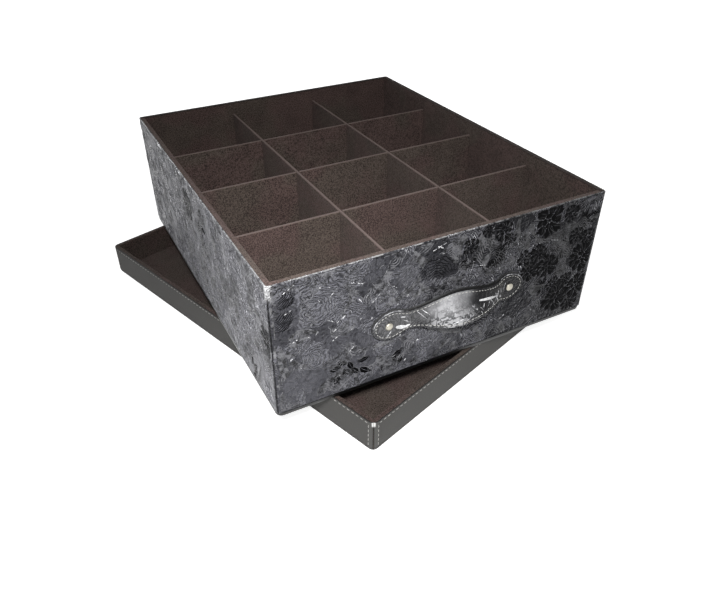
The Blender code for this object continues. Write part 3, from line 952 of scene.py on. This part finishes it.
# %% Where the front's dark flowers are
front_roses = (
    (0.104, 0.121, 0.0170, 0.3), (0.130, 0.121, 0.0090, 1.1), (0.081, 0.088, 0.0080, 0.2),
    (0.098, 0.088, 0.0100, 2.2), (0.089, 0.071, 0.0115, 0.7), (0.111, 0.070, 0.0135, 0.5),
    (0.142, 0.095, 0.0085, 1.4), (0.158, 0.090, 0.0100, 0.9), (0.154, 0.067, 0.0170, 0.1),
    (0.124, 0.045, 0.0090, 0.6), (0.139, 0.046, 0.0085, 0.4), (0.131, 0.027, 0.0160, 0.9),
    (0.156, 0.034, 0.0140, 0.1), (0.152, 0.014, 0.0100, 0.5), (0.052, 0.124, 0.0100, 1.9),
    (0.061, 0.113, 0.0065, 0.3), (0.017, 0.118, 0.0085, 0.8), (0.036, 0.129, 0.0070, 1.2),
)
front_palms = (
    (0.042, 0.102, 0.019, -0.5, 9), (0.017, 0.103, 0.011, -1.2, 5), (0.120, 0.060, 0.016, -0.2, 5),
    (0.126, 0.085, 0.016, -2.6, 5), (0.120, 0.104, 0.014, -0.9, 5), (0.112, 0.046, 0.015, 2.8, 5),
    (0.146, 0.110, 0.014, 0.4, 5), (0.166, 0.110, 0.013, 2.4, 5), (0.104, 0.052, 0.012, -1.4, 5),
    (0.168, 0.048, 0.012, 2.9, 5), (0.076, 0.104, 0.012, 0.8, 5),
)
front_ferns = ((0.080, 0.109, 0.022, -0.1, 6, -0.3), (0.113, 0.030, 0.018, 1.4, 6, 0.5))
front_leaves = (
    (-0.0990, 0.0290, 0.0105, -1.15), (-0.0910, 0.0255, 0.0120, -0.95), (-0.1015, 0.0365, 0.0095, -1.45),
    (-0.1125, 0.0405, 0.0100, -0.85), (-0.1190, 0.0245, 0.0105, -0.50), (-0.1210, 0.0330, 0.0110, -0.20),
    (-0.1080, 0.0300, 0.0110, -1.00), (-0.0930, 0.0330, 0.0100, -0.15), (-0.0595, 0.0235, 0.0120, 0.25),
    (-0.0465, 0.0235, 0.0100, -2.30), (-0.0600, 0.0210, 0.0090, 0.10), (-0.1190, 0.0160, 0.0110, 0.40),
    (0.0060, 0.0990, 0.0100, 0.50),
)
print(len(front_roses), "dark roses,", len(front_palms), "palms,", len(front_leaves), "single leaves")

# %% Where the front's satin flowers and hatched leaves are
front_satin_roses = (
    (-0.118, 0.104, 0.0160, 0.2), (-0.082, 0.060, 0.0140, 0.9), (-0.138, 0.062, 0.0120, 0.4),
    (-0.148, 0.030, 0.0150, 1.3), (-0.020, 0.024, 0.0150, 0.5), (0.050, 0.030, 0.0140, 1.2),
    (0.022, 0.016, 0.0100, 0.7), (-0.078, 0.122, 0.0110, 0.3), (0.084, 0.034, 0.0150, 0.5),
    (0.024, 0.084, 0.0120, 1.0), (-0.048, 0.108, 0.0130, 0.6), (-0.094, 0.085, 0.0110, 0.6),
)
front_satin_palms = (
    (-0.100, 0.128, 0.018, -0.8, 5), (-0.064, 0.090, 0.022, 0.4, 5), (-0.140, 0.046, 0.016, 0.9, 5),
    (0.004, 0.040, 0.020, 0.5, 5), (0.062, 0.090, 0.018, -0.6, 5), (-0.134, 0.084, 0.018, 2.2, 5),
)
front_hatched_leaves = (
    (0.020, 0.013, (-0.162, 0.113), 0.3), (0.022, 0.016, (-0.168, 0.094), 0.1),
    (0.018, 0.009, (0.008, 0.096), 0.9),
)
front_dome = (0.024, (-0.016, 0.093), 0.2, 3.0)
around_hatching = [(-0.152, 0.115, 0.010), (-0.157, 0.095, 0.012), (-0.016, 0.103, 0.016)]
print(len(front_satin_roses), "satin roses,", len(front_satin_palms), "satin palms")

# %% Lay flowers and lines on a wall
glossy, satin, lines = ({side: Shape() for side in sides} for _ in range(3))
line_width, line_height = 0.00125, 0.00048
vein_width = 0.0006


def moved(outline, x, z):
    return [(px + x, pz + z) for px, pz in outline]


def is_free(point, taken):
    return all(math.dist(point, hold[:2]) > hold[2] for hold in taken)


def discs(roses):
    return [(x, z, radius * 1.02) for x, z, radius, _ in roses]


def lay_flowers(side, shape, roses, palms, ferns, taken, draw):
    wall = walls[side]
    for x, z, radius, turn_angle in roses:
        outlines, veins = rose(radius, turn_angle, draw)
        for outline in outlines:
            raise_outline(shape, wall, moved(outline, x, z))
        for path in veins:
            ridge(lines[side], wall_places(wall, moved(path, x, z)), vein_width, line_height)
    fans = [(x, z, palm(reach, angle, count, draw)) for x, z, reach, angle, count in palms]
    fans += [(x, z, fern(reach, angle, pairs, curl)) for x, z, reach, angle, pairs, curl in ferns]
    for x, z, outlines in fans:
        for outline in outlines:
            outline = moved(outline, x, z)
            if is_free(middle_of(outline), taken):
                raise_outline(shape, wall, outline)


def lay_lines(side, pitch, taken, draw):
    wall = walls[side]
    columns, rows = round(2 * wall.half_length / pitch), round(box_height / pitch)
    for column in range(columns):
        for row in range(rows):
            x = -wall.half_length + (column + 0.5 + draw.uniform(-0.35, 0.35)) * pitch
            z = (row + 0.5 + draw.uniform(-0.35, 0.35)) * pitch
            kind, angle = draw.random(), draw.uniform(0, 2 * math.pi)
            if kind < 0.45:
                paths = contour_rose(draw.uniform(0.008, 0.015), draw)
            elif kind < 0.75:
                paths = feather(draw.uniform(0.020, 0.032), angle, draw)
            else:
                paths = leaf_lines(draw.uniform(0.012, 0.018), angle, draw)
            for path in paths:
                run = []
                for point in moved(path, x, z) + [None]:
                    if point is not None and is_free(point, taken):
                        run.append(point)
                    elif run:
                        ridge(lines[side], wall_places(wall, run), line_width, line_height)
                        run = []


# %% Lay out the front
front_pitch = 0.0175
leaf_grow, leaf_width, leaf_bend = 1.25, 0.56, 0.3
rim_grow, rim_width = 1.35, 0.80
leaf_rim_width, leaf_rim_height = 0.0008, 0.0004
hatch_width, hatch_height = 0.00095, 0.0003
strap_feet = [(sign * (0.040 + 0.008 * k), 0.0632, 0.0175) for sign in (-1, 1) for k in range(6)]

front = walls["front"]
front_draw = random.Random(11)
front_taken = discs(front_roses) + discs(front_satin_roses)
lay_flowers("front", glossy["front"], front_roses, front_palms, front_ferns, front_taken, front_draw)
for x, z, length, angle in front_leaves:
    for outline in leaf(length * leaf_grow, length * leaf_width, (x, z), angle, leaf_bend, 1):
        raise_outline(glossy["front"], front, outline)
    for path in leaf_line(length * rim_grow, length * rim_width, (x, z), angle)[:2]:
        ridge(lines["front"], wall_places(front, path), leaf_rim_width, leaf_rim_height)
lay_flowers("front", satin["front"], front_satin_roses, front_satin_palms, (), front_taken, front_draw)
hatched_first, hatched_second, hatched_last = (hatched_leaf(*place) for place in front_hatched_leaves)
for path in hatched_first + hatched_second + hatched_dome(*front_dome) + hatched_last:
    ridge(glossy["front"], wall_places(front, path), hatch_width, hatch_height)
lay_lines("front", front_pitch, front_taken + around_hatching + strap_feet, front_draw)
print("front:", len(glossy["front"].faces), "dark faces,", len(lines["front"].faces), "line faces")

# %% [markdown]
# Where the raised lines catch the light they are painted white, a painted glint in short broken
# dashes. Most run from the lower left to the upper right, as the light finds them. The long ones
# are listed one by one, and small ones are scattered over the front and the left wall.

# %% Lines painted white as glints
rubbed_and_glinting = {side: Shape() for side in ("front", "left")}
glint_pitch, glint_height = 0.0045, 0.00050
long_glint_width, short_glint_width = 0.00095, 0.00060
front_glint_dashes = (
    (-0.119, 0.108, -0.111, 0.116), (-0.067, 0.116, -0.062, 0.128), (-0.080, 0.090, -0.068, 0.101),
    (-0.113, 0.081, -0.104, 0.086), (-0.095, 0.076, -0.088, 0.079), (-0.153, 0.075, -0.146, 0.078),
    (-0.099, 0.117, -0.086, 0.112), (-0.121, 0.088, -0.114, 0.083), (-0.022, 0.124, -0.008, 0.129),
    (-0.092, 0.099, -0.088, 0.094), (-0.117, 0.064, -0.111, 0.068), (-0.046, 0.084, -0.043, 0.090),
    (-0.158, 0.124, -0.146, 0.131), (-0.157, 0.105, -0.150, 0.108), (-0.139, 0.077, -0.135, 0.075),
    (-0.060, 0.102, -0.054, 0.097), (-0.128, 0.110, -0.124, 0.103), (-0.018, 0.128, -0.011, 0.124),
    (-0.102, 0.046, -0.096, 0.052), (0.110, 0.099, 0.121, 0.096), (0.025, 0.096, 0.038, 0.093),
    (-0.155, 0.058, -0.152, 0.060), (-0.038, 0.031, -0.030, 0.035), (0.060, 0.024, 0.068, 0.029),
)
scattered_glint_dashes = (("front", 34, -0.165, 0.10), ("left", 30, -0.20, 0.20))


def lay_glint_dashes(side, start, end, width, draw):
    # a chain of short dashes: the ridge is painted white as a glint only where it stands highest
    dashes = max(1, round(math.dist(start, end) / glint_pitch))
    for i in range(dashes):
        first, last = (i + draw.uniform(0.0, 0.25)) / dashes, (i + draw.uniform(0.6, 0.95)) / dashes
        shares = [first + (last - first) * k / 4 for k in range(5)]
        path = [tuple(s + (e - s) * share for s, e in zip(start, end)) for share in shares]
        ridge(rubbed_and_glinting[side], wall_places(walls[side], path), width * draw.uniform(0.7, 1.2), glint_height)


for x, z, end_x, end_z in front_glint_dashes:
    lay_glint_dashes("front", (x, z), (end_x, end_z), long_glint_width, front_draw)
for side, count, low, high in scattered_glint_dashes:
    for _ in range(count):
        start = front_draw.uniform(low, high), front_draw.uniform(0.012, 0.130)
        angle, length = front_draw.uniform(0.3, 1.2), front_draw.uniform(0.002, 0.006)
        lay_glint_dashes(side, start, polar(length, angle, start), short_glint_width, front_draw)
print("rubbed:", {side: len(shape.faces) for side, shape in rubbed_and_glinting.items()}, "faces")

# %% [markdown]
# ## The other walls
# The sides and the back can't be seen face on, so the same motifs are scattered there: a jittered
# grid keeps them apart, and a seeded draw gives the same wall every time.

# %% Lay out the other walls
flower_pitch, row_foot, row_pitch, row_jitter = 0.042, 0.022, 0.046, 0.010
line_grid = 0.024
scattered_walls = (("right", 40, 0.6), ("back", 41, 0.6), ("left", 42, 0.12))


def scatter(side, seed, glossy_share):
    draw = random.Random(seed)
    wall = walls[side]
    kinds = {True: ([], [], []), False: ([], [], [])}
    for column in range(round(wall.half_length * 2 / flower_pitch)):
        for row in range(3):
            x = -wall.half_length + (column + 0.5 + draw.uniform(-0.25, 0.25)) * flower_pitch
            z = row_foot + row * row_pitch + draw.uniform(-row_jitter, row_jitter)
            roses, palms, ferns = kinds[draw.random() < glossy_share]
            kind = draw.random()
            if kind < 0.50:
                roses.append((x, z, draw.uniform(0.011, 0.019), draw.uniform(0, 6)))
            elif kind < 0.80:
                palms.append((x, z, draw.uniform(0.018, 0.028), draw.uniform(0, 6), draw.choice((5, 7))))
            else:
                reach, angle = draw.uniform(0.030, 0.042), draw.uniform(0, 6)
                ferns.append((x, z, reach, angle, 8, draw.uniform(-0.7, 0.7)))
    taken = discs(kinds[True][0] + kinds[False][0])
    lay_flowers(side, glossy[side], *kinds[True], taken, draw)
    lay_flowers(side, satin[side], *kinds[False], taken, draw)
    lay_lines(side, line_grid, taken, draw)


for side, seed, glossy_share in scattered_walls:
    scatter(side, seed, glossy_share)
for side in sides:
    glossy[side].piece(side + "_glossy_flowers", flower_leather, "box", "embossed_leather")
    # the left wall's flowers are painted pale: a painted reflection
    pressed = left_flower_painted_reflection if side == "left" else satin_flower
    satin[side].piece(side + "_satin_flowers", pressed, "box", "embossed_leather")
    lines[side].piece(side + "_engraved_lines", engraved_leather, "box", "embossed_leather")
for side, shape in rubbed_and_glinting.items():
    shape.piece(side + "_rubbed_lines", glint_line_leather, "box", "embossed_leather")

# %% [markdown]
# ## Stitches
# A stitch is a short, plump piece of thread that dips into the leather at both ends. One small
# capsule is placed again and again along each seam, so the thread casts its own shadow and
# catches its own light.

# %% One stitch, and a seam of them
stitch_sides = 6
stitch_rings = (
    (0.0, 0.30, -0.40), (0.16, 0.85, 0.05), (0.5, 1.0, 0.30), (0.84, 0.85, 0.05), (1.0, 0.30, -0.40),
)


def stitch(shape, start, end, outward, thick):
    way = (end - start).normalized()
    side_way = way.cross(outward).normalized()
    points = []
    for share, fat, lift in stitch_rings:
        middle = start.lerp(end, share) + outward * lift * thick
        for k in range(stitch_sides):
            angle = 2 * math.pi * k / stitch_sides
            spoke = side_way * math.cos(angle) + outward * math.sin(angle) * 0.8
            points.append(middle + spoke * thick / 2 * fat)
    faces = []
    last = (len(stitch_rings) - 1) * stitch_sides
    for a in range(0, last, stitch_sides):
        b = a + stitch_sides
        for k in range(stitch_sides):
            j = (k + 1) % stitch_sides
            faces.append((a + k, b + k, b + j, a + j))
    faces.append(tuple(range(stitch_sides)))
    faces.append(tuple(reversed(range(last, last + stitch_sides))))
    shape.add(points, faces)


def straight_seam(shape, start, end, outward, pitch, length, thick):
    way = end - start
    count = max(1, round(way.length / pitch))
    for i in range(count):
        middle = start + way * ((i + 0.5) / count)
        half = way.normalized() * length / 2
        stitch(shape, middle - half, middle + half, outward, thick)


# %% [markdown]
# ## The lid's seams
# The lid's skirt is sewn all round just under its rim, and down both sides of every corner,
# where the sheet was folded to a mitre.

# %% Stitch the lid
lid_thread_sizes = (0.0054, 0.0037, 0.00065)
lid_rim_drop, lid_corner_reach, lid_seam_foot, lid_seam_gap = 0.0024, 0.0062, 0.0060, 0.001

lid_seams = Shape()
lid_turned = Matrix.Rotation(lid_turn, 3, "Z")
for quarter in range(4):
    along = Vector((1, 0, 0)) if quarter % 2 == 0 else Vector((0, 1, 0))
    out = Vector((0, -1, 0)) if quarter % 2 == 0 else Vector((1, 0, 0))
    if quarter > 1:
        along, out = -along, -out
    run, reach = lid_half if quarter % 2 == 0 else reversed(lid_half)

    def lid_point(across, up):
        return lid_turned @ (along * across + out * reach + Vector((0, 0, up)))

    outward = lid_turned @ out
    top = lid_high - lid_rim_drop
    inner = run - lid_corner_reach
    straight_seam(lid_seams, lid_point(-inner, top), lid_point(inner, top), outward, *lid_thread_sizes)
    for end in (-inner, inner):
        foot, head = lid_point(end, lid_seam_foot), lid_point(end, top - lid_seam_gap)
        straight_seam(lid_seams, foot, head, outward, *lid_thread_sizes)
lid_seams.piece("lid_stitches", lid_thread, "lid", "lid_leatherette")

# %% [markdown]
# ## The strap's surface
# The strap is a dog-bone outline on a bowed path: its feet lie flat on the wall, its crest stands
# away right of the middle, and its lower edge leans out. The same few formulas that shaped the
# solid give the place and the outward way of any point of its face, so threads and creases can
# lie on it exactly. Here u runs along the strap in metres, and v across it from -1 to 1.

# %% Any point of the strap's face
strap_half, strap_round, strap_neck = 0.0805, 0.0190, 0.0196
strap_middle_half, strap_waist_half, strap_end_half = 0.0170, 0.0103, 0.0150
strap_line = box_foot + 0.0632
bow, bow_crest, bow_left, bow_right, bow_ease = 0.0123, 0.0200, -0.0380, 0.0550, 0.0040
bow_rise, bow_lean, strap_crown, strap_face_off = 0.0040, 0.0050, 0.0010, 0.0038


def smooth_step(share):
    share = min(max(share, 0.0), 1.0)
    return share * share * (3 - 2 * share)


def strap_edge(u):
    end_place = strap_half - strap_round
    waist_place = end_place - strap_neck
    u = abs(u)
    if u < waist_place:
        return strap_middle_half + (strap_waist_half - strap_middle_half) * smooth_step(u / waist_place)
    if u < end_place:
        share = (u - waist_place) / strap_neck
        return strap_waist_half + (strap_end_half - strap_waist_half) * smooth_step(share)
    return strap_end_half * math.sqrt(max(0.0, 1 - ((u - end_place) / strap_round) ** 2))


def bow_lobe(u):
    end = bow_left if u < bow_crest else bow_right
    share = (u - bow_crest) / (end - bow_crest)
    return math.cos(math.pi / 2 * min(share, 1.0)) ** 0.90 if share < 1 else 0.0


def bow_share(u):
    return sum(bow_lobe(u + bow_ease * (k - 3) / 3) for k in range(7)) / 7


def strap_point(u, v, above=0.0):
    share = bow_share(u)
    slope = math.atan2(bow * (bow_share(u + bow_ease) - bow_share(u - bow_ease)), 2 * bow_ease)
    push = strap_face_off + strap_crown * share * (1 - v * v) + above
    away = (bow - bow_lean * v) * share + push * math.cos(slope)
    x = box_middle.x + u - push * math.sin(slope)
    return Vector((x, box_low.y - away, strap_line + bow_rise * share + strap_edge(u) * v))


def strap_outward(u, v):
    step_u, step_v = 0.0008, 0.05
    along = strap_point(u + step_u, v) - strap_point(u - step_u, v)
    rise = strap_point(u, v + step_v) - strap_point(u, v - step_v)
    return along.cross(rise).normalized()


strap_low, strap_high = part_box("handle_strap")
print("strap", [round(v, 4) for v in strap_low], [round(v, 4) for v in strap_high])
print("face at the crest", [round(v, 4) for v in strap_point(bow_crest, 0.0)])

# %% [markdown]
# ## The strap's seam
# The seam runs a few millimetres inside the outline, all the way round. Its line is the outline
# pulled in along its own normal, in the flat, and then laid on the face.

# %% Stitch the strap
strap_inset = 0.0030
strap_pitch, strap_stitch, strap_thick = 0.0036, 0.0025, 0.00055
outline_steps = 360

flat_outline = []
for i in range(outline_steps + 1):
    u = -strap_half * math.cos(math.pi * i / outline_steps)
    flat_outline.append((u, strap_edge(u)))
flat_outline += [(u, -half) for u, half in reversed(flat_outline[1:-1])]
seam_line = []
for i, (u, half) in enumerate(flat_outline):
    before, after = flat_outline[i - 1], flat_outline[(i + 1) % len(flat_outline)]
    way = Vector((after[0] - before[0], after[1] - before[1])).normalized()
    seam_line.append((u + way.y * strap_inset, half - way.x * strap_inset))
seam_line.append(seam_line[0])


def seam_place(u, high):
    v = high / max(strap_edge(u), 0.0005)
    return strap_point(u, v), strap_outward(u, v)


strap_seam = Shape()
seam_places = [seam_place(u, high) for u, high in seam_line]
travelled = [0.0]
for (here, _), (there, _) in zip(seam_places, seam_places[1:]):
    travelled.append(travelled[-1] + (there - here).length)
stitch_count = round(travelled[-1] / strap_pitch)


def along_seam(distance):
    index = max(next(i for i, reached in enumerate(travelled) if reached >= distance), 1)
    share = (distance - travelled[index - 1]) / max(travelled[index] - travelled[index - 1], 1e-9)
    (here, outward), (there, _) = seam_places[index - 1], seam_places[index]
    return here.lerp(there, share), outward


for i in range(stitch_count):
    start = travelled[-1] * i / stitch_count
    (first, outward), (last, _) = along_seam(start), along_seam(start + strap_stitch)
    stitch(strap_seam, first, last, outward, strap_thick)
strap_seam.piece("strap_stitches", strap_thread, "box", "strap_leather")

# %% [markdown]
# Creases are painted white on the strap too, as painted glints: a few round the left rivet and
# along the lower edge, and many small ones right of the crest that run up and down. A thin pale
# line follows each foot's rim as a painted highlight, and three broad painted glints lie where the light
# catches most.

# %% Creases on the strap, painted white as glints
strap_glint_creases = (
    (-0.0590, -0.0115, -0.0420, -0.0090, 0.0010), (-0.0560, 0.0070, -0.0440, 0.0035, 0.0010),
    (-0.0660, -0.0110, -0.0610, -0.0040, 0.0009), (-0.0500, 0.0020, -0.0420, -0.0030, 0.0009),
    (-0.0360, 0.0070, -0.0280, -0.0020, 0.0008), (-0.0330, 0.0090, -0.0250, 0.0010, 0.0008),
    (0.0560, -0.0030, 0.0590, 0.0060, 0.0010), (-0.0200, -0.0125, -0.0080, -0.0110, 0.0010),
    (-0.0060, -0.0130, 0.0040, -0.0100, 0.0010), (0.0060, -0.0130, 0.0140, -0.0085, 0.0010),
)
broad_strap_glints = (
    (0.0205, 0.0028, 0.0400, -0.0006, 0.0024), (-0.0575, -0.0030, -0.0470, -0.0062, 0.0044),
    (-0.0500, -0.0062, -0.0430, -0.0050, 0.0030),
)
small_crease_count = 42
crease_margin, crease_height = 0.0035, 0.00040
rim_line_width, rim_line_height, rim_line_start = 0.0009, 0.00030, 0.0500


def strap_glint_line(shape, u, high, end_u, end_high, width):
    path = [(u + (end_u - u) * k / 10, high + (end_high - high) * k / 10) for k in range(11)]
    inside = [(a, b) for a, b in path if abs(b) < strap_edge(a) - crease_margin]
    ridge(shape, [seam_place(a, b) for a, b in inside], width, crease_height)


strap_creases, strap_glints = Shape(), Shape()
for rub in strap_glint_creases:
    strap_glint_line(strap_creases, *rub)
crease_draw = random.Random(5)
for _ in range(small_crease_count):
    start = crease_draw.uniform(0.008, 0.052), crease_draw.uniform(-0.014, -0.001)
    lean, length = crease_draw.uniform(0.9, 2.3), crease_draw.uniform(0.002, 0.006)
    strap_glint_line(strap_creases, *start, *polar(length, lean, start), crease_draw.uniform(0.0004, 0.0007))
for sign in (-1, 1):
    rim = [(u * 0.988, half * 0.945) for u, half in flat_outline if half > 0 and u * sign > rim_line_start]
    ridge(strap_creases, [seam_place(u, high) for u, high in rim], rim_line_width, rim_line_height)
for glint in broad_strap_glints:
    strap_glint_line(strap_glints, *glint)
strap_creases.piece("strap_creases", glint_line_leather, "box", "strap_leather")
strap_glints.piece("strap_glints", glint_strap_leather, "box", "strap_leather")
